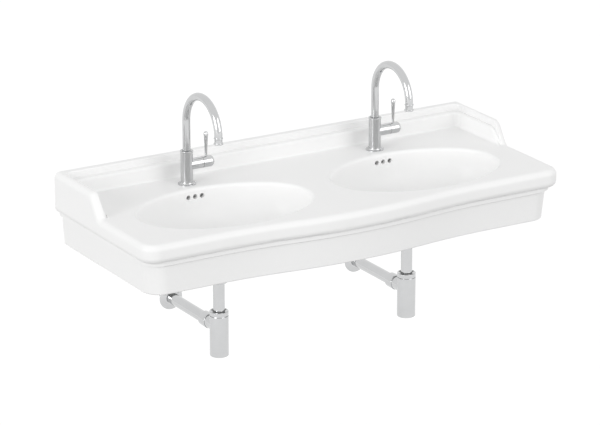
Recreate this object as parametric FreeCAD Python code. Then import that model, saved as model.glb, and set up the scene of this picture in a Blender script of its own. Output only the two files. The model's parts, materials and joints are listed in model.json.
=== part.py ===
import FreeCAD, Part
import math
import os
from FreeCAD import Vector

# Double wall-hung basin, millimetres. X runs along the wall to the viewer's right, +Y goes into the wall,
# Z is up. The origin is on the wall plane at deck level, midway between the two bowls.

# General
overrun = 2.0
press_gap = 0.05
running_gap = 0.05
moving_gap = 0.3
pick_tolerance = 0.001
hex_sides = 6

# Basin outline seen from above
basin_width = 1300.0
bow_depth = 29.0
bow_half_span = 420.0
rim_corner_radius = 45.0
band_corner_radius = 52.0
apron_corner_radius = 50.0

# Basin moulding from the deck down: rim, band, cove, apron
rim_height = 52.0
edge_round = 17.0
rim_under_round = 18.0
band_set_back = 13.5
band_height = 10.0
band_lap = 4.0
neck_set_back = 21.5
neck_height = 12.0
cove_round = 6.0
apron_set_back = 26.0
apron_depth = 147.0
apron_foot_height = 9.0
apron_foot_round = 5.0

# Basin walls
deck_thickness = 16.0
apron_wall = 13.0
back_wall = 17.0

# Upstand: a thin upper layer and a thicker lower layer, stepped at a ledge
upstand_height = 63.0
ledge_height = 44.0
upper_back = 19.0
upper_side = 21.0
upper_edge_round = 3.5
upper_corner_radius = 22.0
upper_foot = 251.0
upper_slope_deg = 56.0
upper_nose_round = 28.0
lower_back = 38.0
lower_side = 30.0
lower_corner_radius = 18.0
lower_foot = 249.0
lower_slope_deg = 45.0
lower_nose_round = 24.0
ledge_edge_round = 7.0
slope_foot_round = 15.0
foot_cove_round = 7.0
upstand_root = 20.0

# Bowls, and the deck left round them
side_shares = {"left": -0.5, "right": 0.5}
bowl_gap = 100.0
bowl_side_margin = 100.0
bowl_front_margin = 43.5
bowl_half_depth = 163.5
bowl_end_radius = 125.0
bowl_depth = 140.0
bowl_floor_round = 110.0
bowl_wall = 11.0
bowl_rim_round = 10.0
overflow_hole_diameter = 13.5
overflow_hole_pitch = 21.0
overflow_hole_count = 3
overflow_hole_drop = 24.0
channel_half_width = 32.0
channel_gap = 8.0
channel_wall = 7.0

# Wall fixing holes, one pair behind each bowl
bolt_spacing = 280.0
bolt_hole_diameter = 16.0
bolt_drop = 95.0

# Tap
tap_to_wall = 100.0
tap_to_bowl = 45.5
tap_hole_diameter = 35.0
base_diameter = 50.0
base_height = 8.0
base_rim_height = 2.5
base_seat_height = 4.0
base_neck_wall = 1.0
base_cove_round = 4.0
gasket_inner_diameter = 30.0
gasket_diameter = 44.0
gasket_thickness = 1.5
body_diameter = 34.0
body_height = 95.0
body_lip_diameter = 36.6
body_lip_height = 4.0
body_lip_round = 1.0
dish_depth = 4.0
dish_rim = 1.5
waterway_diameter = 12.0
shank_diameter = 28.0
shank_drop = 60.0
spigot_diameter = 22.0
spigot_length = 14.0
inlet_diameter = 9.0
inlet_depth = 14.0
inlet_spacing = 13.0
inlet_channel_diameter = 5.0
backing_washer_diameter = 36.0
backing_washer_thickness = 2.0
tap_nut_across_flats = 32.0
tap_nut_height = 10.0

# Tap arm, cartridge and lever
arm_height = 54.0
arm_diameter = 32.0
arm_length = 46.0
chamber_diameter = 25.0
chamber_start = 8.0
pilot_diameter = 18.0
pilot_start = 4.0
cartridge_length = 25.0
cartridge_neck_diameter = 16.0
cartridge_neck_length = 5.0
cartridge_bore_depth = 15.0
cartridge_nut_length = 10.0
cartridge_nut_gap = 0.3
stem_diameter = 8.0
stem_socket_depth = 20.0
cap_gap = 0.4
cap_end = 81.0
cap_round = 10.0
cap_mouth_round = 0.8
lever_offset = 60.0
lever_peg_diameter = 5.0
lever_peg_length = 9.0
lever_seat_depth = 1.0
lever_seat_margin = 0.35
lever_foot_diameter = 6.5
lever_waist_diameter = 9.6
lever_head_diameter = 12.2
lever_knob_diameter = 13.4
lever_knob_lip = 1.5
lever_dome_share = 0.7071
lever_stalk_length = 58.5
lever_waist_share = 0.6154
lever_knob_height = 11.5
grub_diameter = 4.0
grub_offset = 54.0
grub_recess = 0.8

# Spout and aerator
spout_diameter = 22.0
spout_bore_diameter = 16.0
spout_reach = 175.0
spout_spring_height = 178.0
bush_wall = 3.0
bush_bottom = 71.0
bush_shoulder = 1.0
bush_recess = 0.5
seal_groove_depth = 1.8
seal_groove_width = 2.2
seal_first_height = 76.0
seal_pitch = 8.0
seal_play = 0.1
aerator_top = 177.4
aerator_bottom = 158.5
aerator_top_ring_diameter = 25.0
aerator_top_ring_height = 3.4
aerator_low_ring_diameter = 26.0
aerator_low_ring_height = 4.5
aerator_ring_round = 0.8
nozzle_wall = 1.4
nozzle_length = 9.5
insert_diameter = 20.0
insert_height = 7.0
insert_recess = 1.5
insert_jet_diameter = 3.6
insert_jet_ring_diameter = 11.5
insert_jet_count = 6

# Waste and plug
waste_set_back = 38.0
waste_seat_diameter = 67.0
waste_seat_depth = 5.0
waste_hole_diameter = 46.0
boss_diameter = 72.0
boss_height = 30.0
flange_diameter = 63.0
flange_height = 3.0
flange_round = 1.2
flange_seal_diameter = 62.0
flange_seal_thickness = 2.0
waste_thread_diameter = 42.0
waste_bore_diameter = 34.0
waste_mouth_diameter = 38.0
waste_tail = 48.0
slot_width = 10.0
under_seal_diameter = 60.0
under_seal_thickness = 3.0
waste_nut_across_flats = 56.0
waste_nut_height = 10.0
click_diameter = 16.0
click_set_down = 20.0
click_length = 32.0
click_fin_thickness = 2.5
click_fin_length = 20.0
click_fin_count = 3
plug_diameter = 44.0
plug_rim_height = 1.7
plug_dome_height = 5.2
plug_stem_diameter = 8.0
plug_stem_length = 48.0
plug_seal_diameter = 33.0
plug_seal_thickness = 2.3

# Tailpipe and bottle trap
pipe_diameter = 32.0
pipe_wall = 1.2
pipe_lip_gap = 0.4
tailpipe_lap = 22.0
dip_clearance = 25.0
union_seal_thickness = 4.0
union_nut_diameter = 48.0
union_nut_lap = 13.0
union_nut_reach = 12.0
union_nut_round = 2.0
trap_diameter = 52.0
trap_wall = 2.0
trap_hang = 107.0
trap_length = 115.0
trap_bottom_round = 2.5
trap_neck_diameter = 48.0
trap_neck_height = 5.0
trap_neck_bore_diameter = 43.0
trap_neck_depth = 3.0
trap_seal_thickness = 3.0
head_nut_height = 11.5
head_nut_gap = 1.5
head_nut_dish_diameter = 46.0
head_nut_dish_depth = 4.0
head_nut_round = 0.8
outlet_below_shoulder = 33.0
outlet_stub_diameter = 38.0
outlet_stub_end = 70.0
outlet_seal_thickness = 3.0
outlet_nut_diameter = 42.0
outlet_nut_start = 48.0
outlet_nut_end = 80.0
outlet_nut_round = 1.5
outlet_pipe_start = 36.0
outlet_pipe_past_wall = 40.0
outlet_spigot_diameter = 31.2
rose_diameter = 70.0
rose_height = 9.0
rose_rim_height = 2.0
rose_neck_diameter = 38.0
rose_round = 4.0

# Places that follow from the sizes above
half_width = basin_width / 2
bowl_half_width = (half_width - bowl_gap / 2 - bowl_side_margin) / 2
bowl_spacing = bowl_gap + 2 * bowl_half_width
tap_y = -tap_to_wall
bowl_y = tap_y - tap_to_bowl - bowl_half_depth
waste_y = bowl_y + waste_set_back
end_depth = bowl_half_depth + bowl_front_margin - bowl_y
band_bottom = -rim_height - band_height
neck_bottom = band_bottom - neck_height
apron_bottom = -apron_depth
bowl_floor = -bowl_depth
waste_seat = bowl_floor - waste_seat_depth
boss_drop = bowl_depth + boss_height
click_top_drop = bowl_depth + click_set_down
waste_end_drop = boss_drop + waste_tail
union_nut_top_drop = waste_end_drop - union_nut_lap
union_nut_bottom_drop = waste_end_drop + union_nut_reach
trap_shoulder_drop = waste_end_drop + trap_hang
trap_bottom_drop = trap_shoulder_drop + trap_length
tailpipe_end_drop = trap_bottom_drop - dip_clearance
head_nut_bottom_drop = trap_shoulder_drop - head_nut_gap
head_nut_top_drop = head_nut_bottom_drop - head_nut_height
outlet_drop = trap_shoulder_drop + outlet_below_shoulder
pipe_radius = pipe_diameter / 2
lip_radius = pipe_radius + pipe_lip_gap
waste_thread_radius = waste_thread_diameter / 2
full_turn_deg = 360.0
half_turn_deg = 180.0


def line(start, end):
    """Straight edge between two points."""
    return Part.LineSegment(start, end).toShape()


def arc(start, middle, end):
    """Circular edge through three points."""
    return Part.Arc(start, middle, end).toShape()


def rounded_wire(corners):
    """Closed wire through (point, radius) corners, with a tangent arc wherever the radius isn't zero."""
    count = len(corners)
    starts, middles, ends = [], [], []
    for index, (point, radius) in enumerate(corners):
        back = (corners[index - 1][0] - point).normalize()
        ahead = (corners[(index + 1) % count][0] - point).normalize()
        half_angle = back.getAngle(ahead) / 2
        run = radius / math.tan(half_angle)
        inward = (back + ahead).normalize() if radius else Vector()
        starts.append(point + back * run)
        ends.append(point + ahead * run)
        middles.append(point + inward * (radius / math.sin(half_angle) - radius))
    edges = []
    for index in range(count):
        if corners[index][1]:
            edges.append(arc(starts[index], middles[index], ends[index]))
        following = (index + 1) % count
        if (starts[following] - ends[index]).Length > pick_tolerance:
            edges.append(line(ends[index], starts[following]))
    return Part.Wire(edges)


def spun(wire, axis):
    """Solid of revolution of a closed wire about an axis through the origin."""
    return Part.Face(wire).revolve(Vector(), axis, full_turn_deg).Solids[0]


def turned(profile):
    """Piece turned about Z from (radius, height) or (radius, height, corner round) points."""
    corners = [(Vector(p[0], 0, p[1]), p[2] if len(p) > 2 else 0) for p in profile]
    return spun(rounded_wire(corners), Vector(0, 0, 1))


def turned_along_x(profile):
    """Piece turned about X from (radius, distance) or (radius, distance, corner round) points."""
    corners = [(Vector(p[1], 0, p[0]), p[2] if len(p) > 2 else 0) for p in profile]
    return spun(rounded_wire(corners), Vector(1, 0, 0))


def turned_along_y(profile):
    """Piece turned about Y from (radius, distance) or (radius, distance, corner round) points."""
    corners = [(Vector(p[0], p[1], 0), p[2] if len(p) > 2 else 0) for p in profile]
    return spun(rounded_wire(corners), Vector(0, 1, 0))


def ring(inner_diameter, outer_diameter, bottom, top):
    """Flat washer about Z between two heights."""
    inner, outer = inner_diameter / 2, outer_diameter / 2
    return turned([(inner, bottom), (outer, bottom), (outer, top), (inner, top)])


def rod(diameter, start, end):
    """Plain cylinder from one point to another."""
    along = end - start
    return Part.makeCylinder(diameter / 2, along.Length, start, along)


def box(low, high):
    """Block between two opposite corners."""
    size = high - low
    return Part.makeBox(size.x, size.y, size.z, low)


def hex_nut(across_flats, bore_diameter, bottom, top):
    """Hexagon nut about Z, with two flats square to Y."""
    step = 2 * math.pi / hex_sides
    radius = across_flats / 2 / math.cos(step / 2)
    points = [
        Vector(radius * math.cos(step * index), radius * math.sin(step * index), bottom)
        for index in range(hex_sides + 1)
    ]
    prism = Part.Face(Part.makePolygon(points)).extrude(Vector(0, 0, top - bottom))
    bore = rod(bore_diameter, Vector(0, 0, bottom - overrun), Vector(0, 0, top + overrun))
    return prism.cut(bore)


def edges_on(shape, guides):
    """The shape's edges whose ends and middle lie on any of the guide edges."""
    guide = Part.makeCompound(guides)
    picked = []
    for edge in shape.Edges:
        middle = edge.valueAt((edge.FirstParameter + edge.LastParameter) / 2)
        points = [middle] + [vertex.Point for vertex in edge.Vertexes]
        if all(guide.distToShape(Part.Vertex(p))[0] < pick_tolerance for p in points):
            picked.append(edge)
    return picked


def basin_outline(set_back, corner, z, back=0.0):
    """Edges of the basin's plan, set back from the rim: sides, round corners, bowed front, then the back."""
    side = half_width - set_back
    front = set_back - end_depth
    half_span = bow_half_span / 2
    half_bow = bow_depth / 2
    bow_radius = (half_span**2 + half_bow**2) / bow_depth
    quarter = half_span / 2
    sag = bow_radius - math.sqrt(bow_radius**2 - quarter**2)
    notch = corner - corner * math.sqrt(0.5)

    def at(x, y):
        return Vector(x, y, z)

    def half(sign):
        start = at(sign * side, -back)
        turn = at(sign * side, front + corner)
        turn_middle = at(sign * (side - notch), front + notch)
        straight = at(sign * (side - corner), front)
        swing = at(sign * bow_half_span, front)
        swing_middle = at(sign * (bow_half_span - quarter), front - sag)
        crest = at(sign * half_span, front - half_bow)
        return start, turn, turn_middle, straight, swing, swing_middle, crest

    left, right = half(-1), half(1)
    return [
        line(left[0], left[1]),
        arc(left[1], left[2], left[3]),
        line(left[3], left[4]),
        arc(left[4], left[5], left[6]),
        arc(left[6], at(0, front - bow_depth), right[6]),
        arc(right[6], right[5], right[4]),
        line(right[4], right[3]),
        arc(right[3], right[2], right[1]),
        line(right[1], right[0]),
        line(right[0], left[0]),
    ]


def slab(set_back, corner, top, bottom, back=0.0):
    """Upright slab of the basin's plan between two heights."""
    face = Part.Face(Part.Wire(basin_outline(set_back, corner, bottom, back)))
    return face.extrude(Vector(0, 0, top - bottom))


def return_profile(height, foot, slope_deg, nose_round):
    """Side view of an upstand layer at x = 0: level top, round nose, slope, and a foot on the deck."""
    slope = math.radians(slope_deg)
    foot_run = slope_foot_round * math.tan(slope / 2)
    corners = [
        (Vector(0, 0, -upstand_root), 0),
        (Vector(0, 0, height), 0),
        (Vector(0, height / math.tan(slope) - foot, height), nose_round),
        (Vector(0, -foot, 0), slope_foot_round),
        (Vector(0, -foot - foot_run, 0), 0),
        (Vector(0, -foot - foot_run, -upstand_root), 0),
    ]
    return rounded_wire(corners)


def inner_path(back, side, corner, reach, z):
    """Edges of an upstand layer's inner face from above: up one return, along the back, down the other."""
    x, y = half_width - side, -back
    notch = corner - corner * math.sqrt(0.5)
    return [
        line(Vector(-x, -reach, z), Vector(-x, y - corner, z)),
        arc(Vector(-x, y - corner, z), Vector(notch - x, y - notch, z), Vector(corner - x, y, z)),
        line(Vector(corner - x, y, z), Vector(x - corner, y, z)),
        arc(Vector(x - corner, y, z), Vector(x - notch, y - notch, z), Vector(x, y - corner, z)),
        line(Vector(x, y - corner, z), Vector(x, -reach, z)),
    ]


def across(profile):
    """Prism of a side profile over the basin's whole width."""
    prism = Part.Face(profile).extrude(Vector(basin_width, 0, 0))
    return prism.translated(Vector(-half_width, 0, 0))


def profile_edges(profile, x):
    """Edges of a side profile above the deck, copied to both ends at plus and minus x."""
    visible = [edge for edge in profile.Edges if edge.BoundBox.ZMin > -pick_tolerance]
    visible = [edge for edge in visible if edge.BoundBox.YLength > pick_tolerance]
    return [edge.translated(Vector(sign * x, 0, 0)) for sign in (-1, 1) for edge in visible]


def ledge(profile):
    """Lower layer of the upstand inside the upper one: a U in plan cut to the side profile, edge rounded."""
    reach = -profile.BoundBox.YMin + overrun
    bottom = -upstand_root
    inner_x = half_width - lower_side
    outer_x = half_width - (upper_side + edge_round) / 2
    around = [
        Vector(inner_x, -reach, bottom),
        Vector(outer_x, -reach, bottom),
        Vector(outer_x, 0, bottom),
        Vector(-outer_x, 0, bottom),
        Vector(-outer_x, -reach, bottom),
        Vector(-inner_x, -reach, bottom),
    ]
    plan = inner_path(lower_back, lower_side, lower_corner_radius, reach, bottom)
    plan += Part.makePolygon(around).Edges
    block = Part.Face(Part.Wire(plan)).extrude(Vector(0, 0, ledge_height + upstand_root))
    layer = block.common(across(profile)).Solids[0]
    guides = inner_path(lower_back, lower_side, lower_corner_radius, reach, ledge_height)
    guides += profile_edges(profile, inner_x)
    return layer.makeFillet(ledge_edge_round, edges_on(layer, guides))


def foot_cove(profile):
    """Concave fillet where the lower layer's inner face meets the deck, trimmed to the layer's slope."""
    x = lower_side - half_width
    reach = lower_foot + slope_foot_round * math.tan(math.radians(lower_slope_deg) / 2)
    notch = foot_cove_round - foot_cove_round * math.sqrt(0.5)
    root = Vector(x, -reach, 0)
    up = root + Vector(0, 0, foot_cove_round)
    out = root + Vector(foot_cove_round, 0, 0)
    section = Part.Wire([
        line(up, root),
        line(root, out),
        arc(out, root + Vector(notch, 0, notch), up),
    ])
    path = Part.Wire(inner_path(lower_back, lower_side, lower_corner_radius, reach, 0))
    strip = path.makePipeShell([section], True, False)
    return strip.common(across(profile))


def lip_round(reach):
    """Sliver that takes off the upper layer's inner top edge, so that it is left round."""
    corner = Vector(upper_side - half_width, -reach, upstand_height)
    notch = upper_edge_round - upper_edge_round * math.sqrt(0.5)
    out = corner - Vector(upper_edge_round, 0, 0)
    down = corner - Vector(0, 0, upper_edge_round)
    section = Part.Wire([
        line(out, corner),
        line(corner, down),
        arc(down, corner - Vector(notch, 0, notch), out),
    ])
    path = Part.Wire(inner_path(upper_back, upper_side, upper_corner_radius, reach, upstand_height))
    return path.makePipeShell([section], True, False)


def rim_and_upstand():
    """Rim with a stepped upstand: one rounded outer edge round ends and front, then the well cut out."""
    upper_profile = return_profile(upstand_height, upper_foot, upper_slope_deg, upper_nose_round)
    lower_profile = return_profile(ledge_height, lower_foot, lower_slope_deg, lower_nose_round)
    rim = slab(0, rim_corner_radius, 0, -rim_height)
    block = rim.fuse(across(upper_profile)).removeSplitter().Solids[0]
    guides = basin_outline(0, rim_corner_radius, 0)[:-1] + profile_edges(upper_profile, half_width)
    block = block.makeFillet(edge_round, edges_on(block, guides))
    under = basin_outline(0, rim_corner_radius, -rim_height)[:-1]
    block = block.makeFillet(rim_under_round, edges_on(block, under))
    reach = -upper_profile.BoundBox.YMin + overrun
    well = inner_path(upper_back, upper_side, upper_corner_radius, reach, 0)
    well.append(line(well[-1].lastVertex(True).Point, well[0].firstVertex(True).Point))
    well = Part.Face(Part.Wire(well)).extrude(Vector(0, 0, upstand_height + overrun))
    block = block.cut([well, lip_round(reach)]).fuse([ledge(lower_profile), foot_cove(lower_profile)])
    return block.removeSplitter()


def skirt():
    """Band, cove and tapered apron below the rim."""
    band = slab(band_set_back, band_corner_radius, band_lap - rim_height, band_bottom)
    neck = slab(neck_set_back, apron_corner_radius, band_bottom, neck_bottom)
    top = band.fuse(neck).removeSplitter().Solids[0]
    cove = edges_on(top, basin_outline(neck_set_back, apron_corner_radius, band_bottom)[:-1])
    top = top.makeFillet(cove_round, cove)
    foot_top = apron_bottom + apron_foot_height
    upper = Part.Wire(basin_outline(neck_set_back, apron_corner_radius, neck_bottom))
    lower = Part.Wire(basin_outline(apron_set_back, apron_corner_radius, foot_top))
    taper = Part.makeLoft([upper, lower], True, True)
    foot = slab(apron_set_back, apron_corner_radius, foot_top, apron_bottom).Solids[0]
    edge = edges_on(foot, basin_outline(apron_set_back, apron_corner_radius, apron_bottom)[:-1])
    foot = foot.makeFillet(apron_foot_round, edge)
    return top.fuse([taper, foot]).removeSplitter()


def bowl_form(grow, top):
    """Oval bowl, its walls moved outwards by grow: four tangent arcs in plan and a large floor round."""
    end_x = bowl_half_width - bowl_end_radius
    crown = bowl_half_depth - bowl_end_radius
    side_y = (end_x**2 - crown**2) / (2 * crown)
    turn = math.atan2(side_y, end_x)
    radius = bowl_end_radius + grow
    floor = -bowl_depth - grow
    join_x = end_x + radius * math.cos(turn)
    join_y = radius * math.sin(turn)
    reach_x = end_x + radius
    reach_y = bowl_half_depth + grow

    def at(x, y):
        return Vector(x, y + bowl_y, floor)

    oval = [
        arc(at(join_x, -join_y), at(reach_x, 0), at(join_x, join_y)),
        arc(at(join_x, join_y), at(0, reach_y), at(-join_x, join_y)),
        arc(at(-join_x, join_y), at(-reach_x, 0), at(-join_x, -join_y)),
        arc(at(-join_x, -join_y), at(0, -reach_y), at(join_x, -join_y)),
    ]
    prism = Part.Face(Part.Wire(oval)).extrude(Vector(0, 0, top - floor))
    return prism.makeFillet(bowl_floor_round + grow, edges_on(prism, oval))


def overflow_slice(half_span, low, high):
    """Space behind the waste that holds the overflow channel, between two heights."""
    return box(Vector(-half_span, waste_y, low), Vector(half_span, 0, high))


def bowl_additions():
    """What one bowl adds under the deck: its shell, the overflow hump and the boss round the waste."""
    hump_grow = bowl_wall + channel_gap + channel_wall
    shell = bowl_form(bowl_wall, 0)
    hump = bowl_form(hump_grow, 0)
    hump_bottom = -bowl_depth - hump_grow - overrun
    hump = hump.common(overflow_slice(channel_half_width + channel_wall, hump_bottom, 0))
    boss = rod(boss_diameter, Vector(0, waste_y, -boss_drop), Vector(0, waste_y, bowl_floor))
    return [shell, hump, boss]


def bowl_cuts():
    """What one bowl takes away: basin space, overflow channel and holes, waste seat and hole, tap hole."""
    inside = bowl_form(0, overrun)
    channel_grow = bowl_wall + channel_gap
    channel = bowl_form(channel_grow, 0).cut(bowl_form(bowl_wall, overrun))
    channel = channel.common(overflow_slice(channel_half_width, -bowl_depth - channel_grow - overrun,
                                            -deck_thickness))
    seat_top = bowl_floor + bowl_wall
    seat = rod(waste_seat_diameter, Vector(0, waste_y, waste_seat), Vector(0, waste_y, seat_top))
    hole = rod(waste_hole_diameter, Vector(0, waste_y, -boss_drop - overrun), Vector(0, waste_y, bowl_floor))
    tap_hole = rod(tap_hole_diameter, Vector(0, tap_y, -deck_thickness - overrun), Vector(0, tap_y, overrun))
    cuts = [inside, channel, seat, hole, tap_hole]
    wall_y = bowl_y + bowl_half_depth
    for index in range(overflow_hole_count):
        x = (index - (overflow_hole_count - 1) / 2) * overflow_hole_pitch
        start = Vector(x, wall_y - bowl_wall, -overflow_hole_drop)
        end = Vector(x, wall_y + bowl_wall + channel_gap / 2, -overflow_hole_drop)
        cuts.append(rod(overflow_hole_diameter, start, end))
    for sign in (-1, 1):
        x = sign * bolt_spacing / 2
        cuts.append(rod(bolt_hole_diameter, Vector(x, -back_wall - overrun, -bolt_drop),
                        Vector(x, overrun, -bolt_drop)))
    return cuts


def both_sides(shapes):
    """Copies of shapes made about x = 0, moved to the left and the right bowl."""
    places = [Vector(share * bowl_spacing, 0, 0) for share in side_shares.values()]
    return [shape.translated(place) for place in places for shape in shapes]


def basin():
    """The ceramic: one casting with a hollow underside."""
    body = rim_and_upstand().fuse(skirt()).removeSplitter()
    hollow = slab(apron_set_back + apron_wall, apron_corner_radius - apron_wall, -deck_thickness,
                  apron_bottom - overrun, back_wall)
    body = body.cut(hollow).fuse(both_sides(bowl_additions()))
    body = body.cut(both_sides(bowl_cuts())).removeSplitter().Solids[0]
    rim_edges = []
    for edge in body.Edges:
        limits = edge.BoundBox
        level = abs(limits.ZMin) < pick_tolerance and abs(limits.ZMax) < pick_tolerance
        inside = limits.YMin > bowl_y - bowl_half_depth - pick_tolerance
        behind = limits.YMax < bowl_y + bowl_half_depth + pick_tolerance
        if level and inside and behind and abs(limits.Center.x) < half_width - lower_side - foot_cove_round:
            rim_edges.append(edge)
    return body.makeFillet(bowl_rim_round, rim_edges)


def tap_base():
    """Foot ring of the tap: a rim on the deck, a cove, and a thin neck round the body."""
    outer = base_diameter / 2
    seat = body_diameter / 2 + press_gap
    neck = seat + base_neck_wall
    shank = shank_diameter / 2 + press_gap
    recess = gasket_diameter / 2
    return turned([
        (recess, 0), (outer, 0), (outer, base_rim_height), (neck, base_rim_height, base_cove_round),
        (neck, base_height), (seat, base_height), (seat, base_seat_height), (shank, base_seat_height),
        (shank, gasket_thickness), (recess, gasket_thickness),
    ])


def tap_body():
    """Upright body with a lip and a dished top, and the side arm bored for the cartridge."""
    outer = body_diameter / 2
    lip = body_lip_diameter / 2
    lip_bottom = body_height - body_lip_height
    bush = spout_diameter / 2 + bush_wall
    dish_bottom = body_height - dish_depth
    spigot = spigot_diameter / 2
    spigot_top = base_seat_height + spigot_length
    waterway = waterway_diameter / 2
    upright = turned([
        (spigot, base_seat_height), (outer, base_seat_height), (outer, lip_bottom),
        (lip, lip_bottom, body_lip_round), (lip, body_height, body_lip_round), (lip - dish_rim, body_height),
        (bush, dish_bottom), (bush, bush_bottom), (waterway, bush_bottom), (waterway, spigot_top),
        (spigot, spigot_top),
    ])
    wall = outer - bush_wall
    arm = rod(arm_diameter, Vector(wall, 0, arm_height), Vector(arm_length, 0, arm_height))
    pilot = rod(pilot_diameter, Vector(pilot_start, 0, arm_height), Vector(arm_length, 0, arm_height))
    chamber = rod(chamber_diameter, Vector(chamber_start, 0, arm_height),
                  Vector(arm_length + overrun, 0, arm_height))
    return upright.fuse(arm).removeSplitter().cut([pilot, chamber])


def tap_shank():
    """Threaded stem through the deck, with two tapped inlets and their passages."""
    shank = shank_diameter / 2
    spigot = spigot_diameter / 2 - press_gap
    top = base_seat_height + spigot_length
    stem = turned([
        (0, -shank_drop), (shank, -shank_drop), (shank, base_seat_height), (spigot, base_seat_height),
        (spigot, top), (0, top),
    ])
    for sign in (-1, 1):
        x = sign * inlet_spacing / 2
        stem = stem.cut([
            rod(inlet_diameter, Vector(x, 0, -shank_drop - overrun), Vector(x, 0, inlet_depth - shank_drop)),
            rod(inlet_channel_diameter, Vector(x, 0, -shank_drop), Vector(x, 0, top + overrun)),
        ])
    return stem


def cartridge():
    """Valve cartridge in the arm, with a neck and a bore for the turning stem."""
    outer = chamber_diameter / 2 - press_gap
    neck = cartridge_neck_diameter / 2
    bore = stem_diameter / 2 + running_gap
    end = chamber_start + cartridge_length
    neck_end = end + cartridge_neck_length
    bore_start = neck_end - cartridge_bore_depth - cartridge_neck_length
    part = turned_along_x([
        (0, chamber_start), (outer, chamber_start), (outer, end), (neck, end), (neck, neck_end),
        (bore, neck_end), (bore, bore_start), (0, bore_start),
    ])
    return part.translated(Vector(0, 0, arm_height))


def cartridge_nut():
    """Ring nut in the arm's mouth that holds the cartridge."""
    outer = chamber_diameter / 2 - press_gap
    inner = cartridge_neck_diameter / 2 + cartridge_nut_gap
    start = chamber_start + cartridge_length
    end = start + cartridge_nut_length
    part = turned_along_x([(inner, start), (outer, start), (outer, end), (inner, end)])
    return part.translated(Vector(0, 0, arm_height))


def cartridge_stem():
    """Turning stem from inside the cartridge to the end of its socket in the cap."""
    start = chamber_start + cartridge_length - cartridge_bore_depth + moving_gap
    end = arm_length + cap_gap + stem_socket_depth
    return rod(stem_diameter, Vector(start, 0, arm_height), Vector(end, 0, arm_height))


def handle_cap():
    """Round-ended cap on the arm, with the stem socket, the lever's seat and the grub screw's hole."""
    outer = arm_diameter / 2
    socket = stem_diameter / 2 + press_gap
    start = arm_length + cap_gap
    socket_end = start + stem_socket_depth
    cap = turned_along_x([
        (socket, start), (outer, start, cap_mouth_round), (outer, cap_end, cap_round), (0, cap_end),
        (0, socket_end), (socket, socket_end),
    ]).translated(Vector(0, 0, arm_height))
    top = arm_height + outer
    seat = top - lever_seat_depth
    seat_diameter = lever_foot_diameter + 2 * lever_seat_margin
    low = arm_height - outer
    return cap.cut([
        rod(seat_diameter, Vector(lever_offset, 0, seat), Vector(lever_offset, 0, top + overrun)),
        rod(lever_peg_diameter + 2 * press_gap, Vector(lever_offset, 0, seat - lever_peg_length),
            Vector(lever_offset, 0, top)),
        rod(grub_diameter + 2 * press_gap, Vector(grub_offset, 0, low - overrun),
            Vector(grub_offset, 0, arm_height - socket / 2)),
    ])


def lever():
    """Turned lever: a peg in the cap, a slim flared stalk and a domed knob."""
    peg = lever_peg_diameter / 2
    foot = lever_foot_diameter / 2
    head = lever_head_diameter / 2
    knob = lever_knob_diameter / 2
    seat = arm_height + arm_diameter / 2 - lever_seat_depth
    waist = seat + lever_stalk_length * lever_waist_share
    neck = seat + lever_stalk_length
    tip = neck + lever_knob_height
    lip_top = neck + lever_knob_lip
    dome = tip - lip_top

    def at(radius, height):
        return Vector(radius, 0, height)

    outline = [
        line(at(0, seat - lever_peg_length), at(peg, seat - lever_peg_length)),
        line(at(peg, seat - lever_peg_length), at(peg, seat)),
        line(at(peg, seat), at(foot, seat)),
        arc(at(foot, seat), at(lever_waist_diameter / 2, waist), at(head, neck)),
        line(at(head, neck), at(knob, neck)),
        line(at(knob, neck), at(knob, lip_top)),
    ]
    profile = Part.BezierCurve()
    profile.setPoles([
        at(knob, lip_top), at(knob, lip_top + dome * lever_dome_share),
        at(knob * lever_dome_share, tip), at(0, tip),
    ])
    outline += [profile.toShape(), line(at(0, tip), at(0, seat - lever_peg_length))]
    return spun(Part.Wire(outline), Vector(0, 0, 1)).translated(Vector(lever_offset, 0, 0))


def handle_screw():
    """Grub screw from below that holds the cap on the stem."""
    low = arm_height - arm_diameter / 2 + grub_recess
    high = arm_height - stem_diameter / 2
    return rod(grub_diameter, Vector(grub_offset, 0, low), Vector(grub_offset, 0, high))


def spout_bush():
    """Plain bearing in the body's top that carries the spout."""
    outer = spout_diameter / 2 + bush_wall - press_gap
    bore = spout_diameter / 2 + running_gap
    shoulder = spout_bore_diameter / 2
    top = body_height - dish_depth - bush_recess
    seat = bush_bottom + bush_shoulder
    return turned([
        (shoulder, bush_bottom), (outer, bush_bottom), (outer, top), (bore, top), (bore, seat),
        (shoulder, seat),
    ])


def seal_heights():
    """Bottom of each seal groove on the spout's foot."""
    return [seal_first_height, seal_first_height + seal_pitch]


def spout():
    """Gooseneck tube: a foot with two seal grooves, a half-circle arch and a nozzle for the aerator."""
    outer = spout_diameter / 2
    bore = spout_bore_diameter / 2
    groove = outer - seal_groove_depth
    bottom = bush_bottom + bush_shoulder + moving_gap
    points = [(bore, bottom), (outer, bottom)]
    for height in seal_heights():
        top = height + seal_groove_width
        points += [(outer, height), (groove, height), (groove, top), (outer, top)]
    points += [(outer, spout_spring_height), (bore, spout_spring_height)]
    foot = turned(points)
    spring = Vector(0, 0, spout_spring_height)
    section = Part.Face([Part.Wire(Part.Circle(spring, Vector(0, 0, 1), r).toShape()) for r in (outer, bore)])
    centre = spring + Vector(0, -spout_reach / 2, 0)
    arch = section.revolve(centre, Vector(1, 0, 0), half_turn_deg)
    nozzle = bore + nozzle_wall
    end = turned([
        (bore, aerator_top - nozzle_length), (nozzle, aerator_top - nozzle_length), (nozzle, aerator_top),
        (outer, aerator_top), (outer, spout_spring_height), (bore, spout_spring_height),
    ]).translated(Vector(0, -spout_reach, 0))
    return foot.fuse([arch, end]).removeSplitter()


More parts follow.
